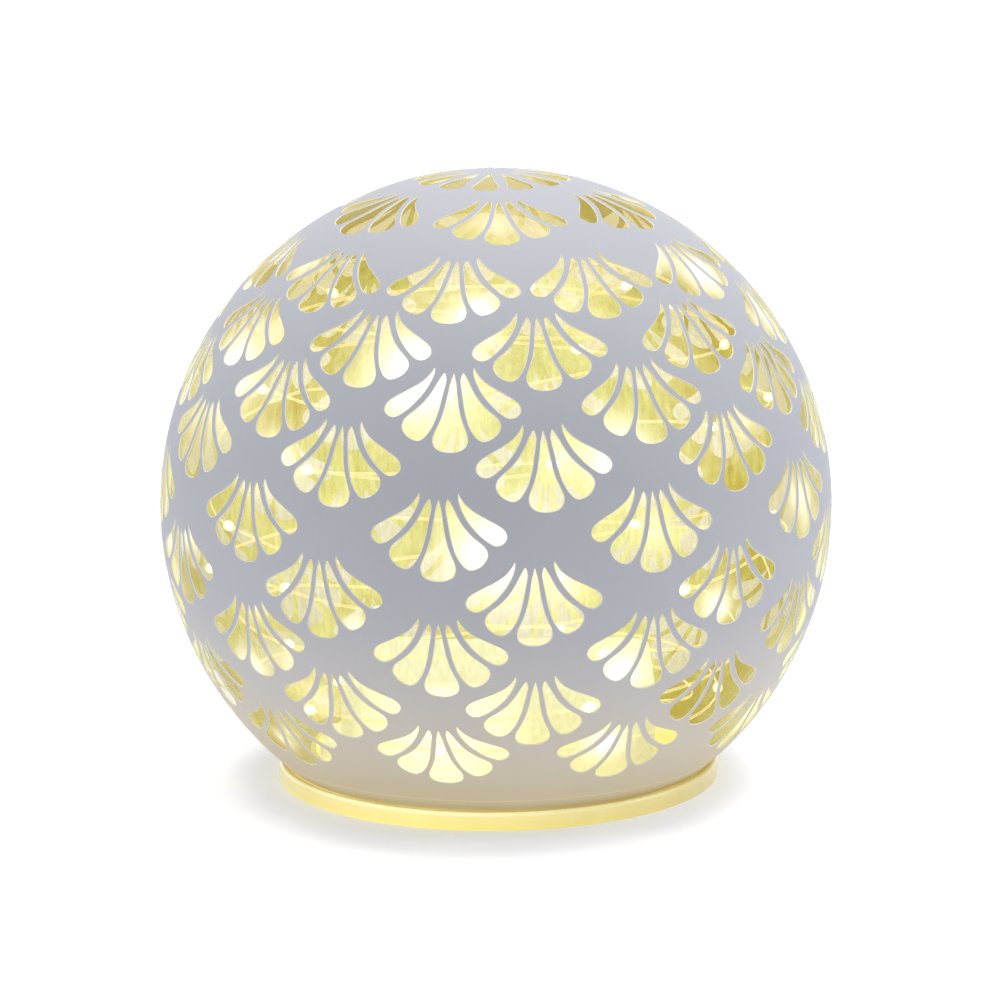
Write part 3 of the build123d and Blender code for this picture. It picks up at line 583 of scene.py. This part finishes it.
def rounded(outline):
    """An outline with each of its corners cut back once, so that it runs smoothly."""
    cut = []
    for (u0, v0), (u1, v1) in zip(outline, outline[1:] + outline[:1]):
        cut.append((u0 * 0.75 + u1 * 0.25, v0 * 0.75 + v1 * 0.25))
        cut.append((u0 * 0.25 + u1 * 0.75, v0 * 0.25 + v1 * 0.75))
    return cut


def widened(outline, width):
    """An outline moved outwards all round by a width, less where its corners are close together."""
    before, after = outline[-1:] + outline[:-1], outline[1:] + outline[:1]
    area = sum(u0 * v1 - u1 * v0 for (u0, v0), (u1, v1) in zip(outline, after))
    wide = []
    for (u0, v0), (u, v), (u1, v1) in zip(before, outline, after):
        along = Vector((u1 - u0, v1 - v0)).normalized()
        room = 0.45 * min(hypot(u - u0, v - v0), hypot(u1 - u, v1 - v))
        shift = max(-room, min(room, width)) * (1 if area > 0 else -1)
        wide.append((u + along.y * shift, v - along.x * shift))
    return wide


def petal_rings(outline, latitude, turn):
    """Rings of the cutter for one petal of a fan, from inside the ball out, with its flare."""
    lat, lon = radians(latitude), radians(turn)
    normal = Vector((cos(lat) * sin(lon), -cos(lat) * cos(lon), sin(lat)))
    east = Vector((cos(lon), sin(lon), 0))
    to_ball = Matrix((east, normal.cross(east), normal)).transposed()
    narrow, wide = widened(outline, edge_inside), widened(outline, edge_outside)
    levels = ((narrow, cut_from), (narrow, flare_from), (wide, flare_to), (wide, cut_to))
    rings = []
    for ring, reach in levels:
        lifted = [Vector((u, v, sqrt(coat_radius**2 - u * u - v * v))) for u, v in ring]
        rings.append([centre + to_ball @ point * (reach / coat_radius * MM) for point in lifted])
    return rings


fan = [rounded(middle_petal)]
for petal in (inner_petal, outer_petal):
    fan.append(rounded(petal))
    fan.append(rounded([(-u, v) for u, v in reversed(petal)]))
top_latitude, top_turn, row_gap, fans_a_row = 47.5, -9.0, 13.5, 10
crown_latitude, crown_turn, crown_fans = 66.0, 3.0, 6
rosette_turn, rosette_petals = -6.0, 12
row_step = row_gap / coat_radius * 180 / pi
fan_step = 360 / fans_a_row
row_drift = [
    (-1.2, 1.5), (0.4, -0.3), (1.2, 0), (-0.7, 0.6), (-0.4, -0.1),
    (-2.9, -0.8), (-0.6, 0.1), (-2.6, 0.1), (-2.2, 0.4),
]
fan_places = [(crown_latitude, crown_turn + 360 / crown_fans * k) for k in range(crown_fans)]
for row, (turn_drift, latitude_drift) in enumerate(row_drift):
    row_turn = top_turn - (row % 2) * fan_step / 2 + turn_drift
    row_latitude = top_latitude - row * row_step + latitude_drift
    fan_places += [(row_latitude, row_turn + fan_step * k) for k in range(fans_a_row)]
petals = [petal_rings(petal, *fan_place) for fan_place in fan_places for petal in fan]
for k in range(rosette_petals):
    petal_turn = rosette_turn + 360 / rosette_petals * k
    petals.append(petal_rings(rounded(rosette_petal), 90, petal_turn))
cutters = bmesh.new()
petal_mark = cutters.faces.layers.int.new("petal")
caps = []
for k, rings in enumerate(petals):
    caps.append(cutters.faces.new([cutters.verts.new(point) for point in rings[0]]))
    caps[-1][petal_mark] = k
for level in (1, 2, 3):
    grown = bmesh.ops.extrude_face_region(cutters, geom=caps)["geom"]
    if level > 1:
        bmesh.ops.delete(cutters, geom=caps, context="FACES_ONLY")
    caps = [face for face in grown if isinstance(face, bmesh.types.BMFace)]
    for cap in caps:
        for vertex, point in zip(cap.verts, petals[cap[petal_mark]][level]):
            vertex.co = point
bmesh.ops.recalc_face_normals(cutters, faces=cutters.faces)
cutter_mesh = bpy.data.meshes.new("petal_masks")
cutters.to_mesh(cutter_mesh)
cutters.free()
masks = add_piece("petal_masks", cutter_mesh)
shell = ball_shell(coat_radius, coat_wall, coat_low_z)
full_mesh = bpy.data.meshes.new("full_coat")
shell.to_mesh(full_mesh)
shell.free()
full_coat = add_piece("full_coat", full_mesh)
masking = full_coat.modifiers.new("masking", "BOOLEAN")
masking.operation = "DIFFERENCE"
masking.solver = "MANIFOLD"
masking.object = masks
masked = full_coat.evaluated_get(bpy.context.evaluated_depsgraph_get())
coat_mesh = bpy.data.meshes.new_from_object(masked)
for spare in (masks, full_coat):
    bpy.data.objects.remove(spare)
coat_mesh.name = "fan_lacquer"
fan_lacquer = add_piece("fan_lacquer", coat_mesh)

lamp_height, glow_line_z, shade_z = 0.137, 0.007, 0.0063
painted_glow_by_height = [
    (0.0, (0.16, 0.10, 0.02)),
    (0.05, (0.42, 0.29, 0.05)),
    (0.12, (0.40, 0.29, 0.07)),
    (0.35, (0.11, 0.09, 0.05)),
    (0.6, (0.02, 0.02, 0.01)),
    (1.0, (0.0, 0.0, 0.0)),
]
# Outside of the lacquer: a painted warm glow low down, as if lit from inside, that fades out about
# a third of the way up; a pale painted line of light where the collar's top edge lights the lacquer
# from inside; and painted shade just above the foot ring.
lacquer, nodes, place = new_finish("lacquer")
speck = nodes.node("TexNoise", Vector=place, Scale=2600.0, Detail=2.0)
drift = nodes.node("TexNoise", Vector=place, Scale=30.0, Detail=2.0)
height = nodes.axis(place, "Z")
bump = nodes.node("Bump", result="Normal", Strength=0.2, Distance=0.0001, Height=speck)
painted_warm_glow = nodes.node("ValToRGB", {"stops": painted_glow_by_height}, Fac=height * (1 / lamp_height))
painted_glow_line = nodes.clamp(1.0 - nodes.math("ABSOLUTE", height - glow_line_z) * 4000.0)
foot_shade = nodes.clamp((shade_z - height) * 500.0)
speckled = speck * 0.5 + drift * 0.5
skin = nodes.mix(speckled, (0.465, 0.474, 0.516, 1), (0.53, 0.54, 0.58, 1))
skin_with_glow_line = nodes.mix(painted_glow_line * 0.4, skin, (0.80, 0.76, 0.66, 1))
surface = nodes.node(
    "BsdfPrincipled",
    Base_Color=nodes.mix(foot_shade * 0.6, skin_with_glow_line, (0.30, 0.28, 0.25, 1)),
    Roughness=0.62 + speck * 0.15,
    Specular_IOR_Level=0.3,
    Normal=bump,
    Emission_Color=painted_warm_glow,
    Emission_Strength=0.6,
)
finish_with(nodes, surface)

# Back of the lacquer, seen through the windows: a painted glow, as if lit by the lights inside. It
# is brighter near each light, with painted streaks and mottling, paler on the far side and at the
# sides, and deeper gold on the upper flanks.
back_from, back_slope = 0.03, 28.0
limb_from, limb_slope = 0.052, 70.0
raised_from, raised_slope = 0.03, 50.0
flank_from, flank_slope = 0.03, 40.0
lit_back, nodes, place = new_finish("lit_back")
glimmer = nodes.node("TexNoise", Vector=place, Scale=70.0, Detail=4.0)
stretch = nodes.node("Mapping", Vector=place, Scale=(500.0, 500.0, 60.0))
strokes = nodes.node("TexNoise", Vector=stretch, Scale=1.0, Detail=3.0)
light = nodes.node("Attribute", {"attribute_name": "string_light"}, "Fac")
aside = nodes.math("ABSOLUTE", nodes.axis(place, "X"))
limb = nodes.clamp((aside - limb_from) * limb_slope)
back = nodes.clamp((nodes.axis(place, "Y") - back_from) * back_slope)
paler = nodes.math("MAXIMUM", back, limb * 0.45)
raised = nodes.clamp((nodes.axis(place, "Z") - raised_from) * raised_slope)
flank = nodes.clamp((aside - flank_from) * flank_slope) * raised * (1.0 - limb)
# This mottle is painted light: the pools of light from the lights, with painted streaks and
# glimmer.
mottle = light * 0.7 + glimmer * 1.4 + strokes * 1.4 + (1.0 - raised) * 0.08
tone = nodes.clamp(mottle + paler * 0.45 - flank * 0.15 - 1.45)
gold = nodes.mix(paler, (0.80, 0.70, 0.04, 1), (0.88, 0.88, 0.20, 1))
gold = nodes.mix(flank, gold, (0.80, 0.66, 0.0, 1))
surface = nodes.node(
    "BsdfPrincipled",
    Base_Color=nodes.mix(flank, (0.4, 0.38, 0.3, 1), (0.42, 0.36, 0.06, 1)),
    Roughness=0.6 + glimmer * 0.1,
    Emission_Color=nodes.mix(tone, gold, (1.34, 1.46, 0.90, 1)),
    Emission_Strength=0.9,
)
finish_with(nodes, surface)

# Flared petal edges: a faint painted glow, as if lit from inside through the thin lacquer.
petal_edge, nodes, place = new_finish("petal_edge")
nick = nodes.node("TexNoise", Vector=place, Scale=900.0, Detail=2.0)
surface = nodes.node(
    "BsdfPrincipled",
    Base_Color=nodes.mix(nick, (0.58, 0.57, 0.52, 1), (0.66, 0.65, 0.59, 1)),
    Roughness=0.5 + nick * 0.1,
    Emission_Color=(1.0, 0.94, 0.66, 1),
    Emission_Strength=0.2,
)
finish_with(nodes, surface)
paint(fan_lacquer, lacquer, lit_back, petal_edge)
skin_slant = 0.9
slot_of_side = {1: 0, -1: 1, 0: 2}
normals = [None] * len(coat_mesh.loops)
for face in coat_mesh.polygons:
    slant = face.normal.dot((face.center - centre).normalized())
    side = 1 if slant > skin_slant else -1 if slant < -skin_slant else 0
    face.use_smooth = True
    face.material_index = slot_of_side[side]
    for i in face.loop_indices:
        vertex = coat_mesh.vertices[coat_mesh.loops[i].vertex_index]
        normals[i] = (vertex.co - centre).normalized() * side if side else face.normal
coat_mesh.normals_split_custom_set(normals)
store_light(coat_mesh, coat_light_reach * MM)
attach(fan_lacquer, "lamp")
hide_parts("lacquer_coat")

# Studio: a white floor that keeps the lamp's shadow, narrowed round the foot by painted light, and
# soft panels at both sides and above.
# The camera stands as far off and as high as in the photograph.
floor_mesh = bpy.data.meshes.new("floor")
floor = bmesh.new()
bmesh.ops.create_grid(floor, x_segments=1, y_segments=1, size=4.0)
floor.to_mesh(floor_mesh)
floor.free()
floor_piece = add_piece("floor", floor_mesh)


def white_seen(nodes):
    """1 for rays that see the studio itself, 0 for rays that light the lamp."""
    kinds = ("Is Camera Ray", "Is Glossy Ray", "Is Transmission Ray")
    seen, glossy, through = [nodes.node("LightPath", result=kind) for kind in kinds]
    return nodes.math("MINIMUM", seen + glossy + through, 1.0)


# The lift that camera, glossy and transmission rays see is painted light round the foot: it grows
# with the distance from the foot, faster at the sides, so the lamp's shadow is cut back, most at
# its sides. Far off it whitens the floor evenly. The floor is tinted blue to offset the yellow
# light the lamp throws on it.
far_from, far_lift = 0.2, 0.6
near_from, near_slope = 0.05, 7.0
mid_from, mid_slope = 0.066, 12.0
most_near_lift, least_lift = 0.3, 0.2
pale_floor, nodes, place = new_finish("pale_floor")
ground = nodes.node("BsdfDiffuse", Color=(0.76, 0.79, 0.89, 1))
far = nodes.clamp(nodes.length(place) - far_from) * far_lift
oval = nodes.node("Mapping", Vector=place, Location=(0.0025, 0.0, 0.0), Scale=(1.25, 1.0, 1.0))
from_foot = nodes.length(oval)
near = nodes.math("MAXIMUM", from_foot - near_from, 0.0) * near_slope
near = near + nodes.math("MAXIMUM", from_foot - mid_from, 0.0) * mid_slope
near = nodes.math("MINIMUM", near, most_near_lift)
lift = nodes.node(
    "Emission",
    Color=(1.0, 1.0, 1.0, 1),
    Strength=white_seen(nodes) * (least_lift + near + far),
)
finish_with(nodes, nodes.node("AddShader", in0=ground, in1=lift))
paint(floor_piece, pale_floor)

sky_light = 0.45
world = bpy.data.worlds.new("studio")
world.use_nodes = True
world.node_tree.nodes.clear()
nodes = Layer(world.node_tree)
sky = nodes.node(
    "Background",
    Color=(1.0, 1.0, 1.0, 1),
    Strength=sky_light + white_seen(nodes) * (1 - sky_light),
)
output = world.node_tree.nodes.new("ShaderNodeOutputWorld")
world.node_tree.links.new(sky.socket, output.inputs["Surface"])
scene.world = world

panel_aim = Vector((0, 0, 0.06))
for name, place, size, power in (
    ("left_panel", (-1.3, -0.2, 0.7), 0.9, 4.0),
    ("right_panel", (1.3, -0.1, 0.7), 0.9, 5.0),
    ("top_panel", (0.1, 0.3, 1.5), 1.2, 16.0),
):
    light = bpy.data.lights.new(name, "AREA")
    light.size = size
    light.energy = power
    panel = bpy.data.objects.new(name, light)
    panel.location = place
    panel.rotation_euler = (panel_aim - Vector(place)).to_track_quat("-Z", "Y").to_euler()
    scene.collection.objects.link(panel)

camera_distance, camera_rise, camera_roll = 1.05, radians(11.97), radians(-0.58)
camera_data = bpy.data.cameras.new("camera")
camera_data.sensor_width = 36.0
camera_data.lens = 168.9
camera_data.shift_x = 0.004
camera_data.shift_y = 0.003
camera = bpy.data.objects.new("camera", camera_data)
camera.location = centre + Vector((0, -cos(camera_rise), sin(camera_rise))) * camera_distance
aim = (centre - camera.location).to_track_quat("-Z", "Y").to_matrix().to_4x4()
camera.rotation_euler = (aim @ Matrix.Rotation(camera_roll, 4, "Z")).to_euler()
scene.collection.objects.link(camera)
scene.camera = camera
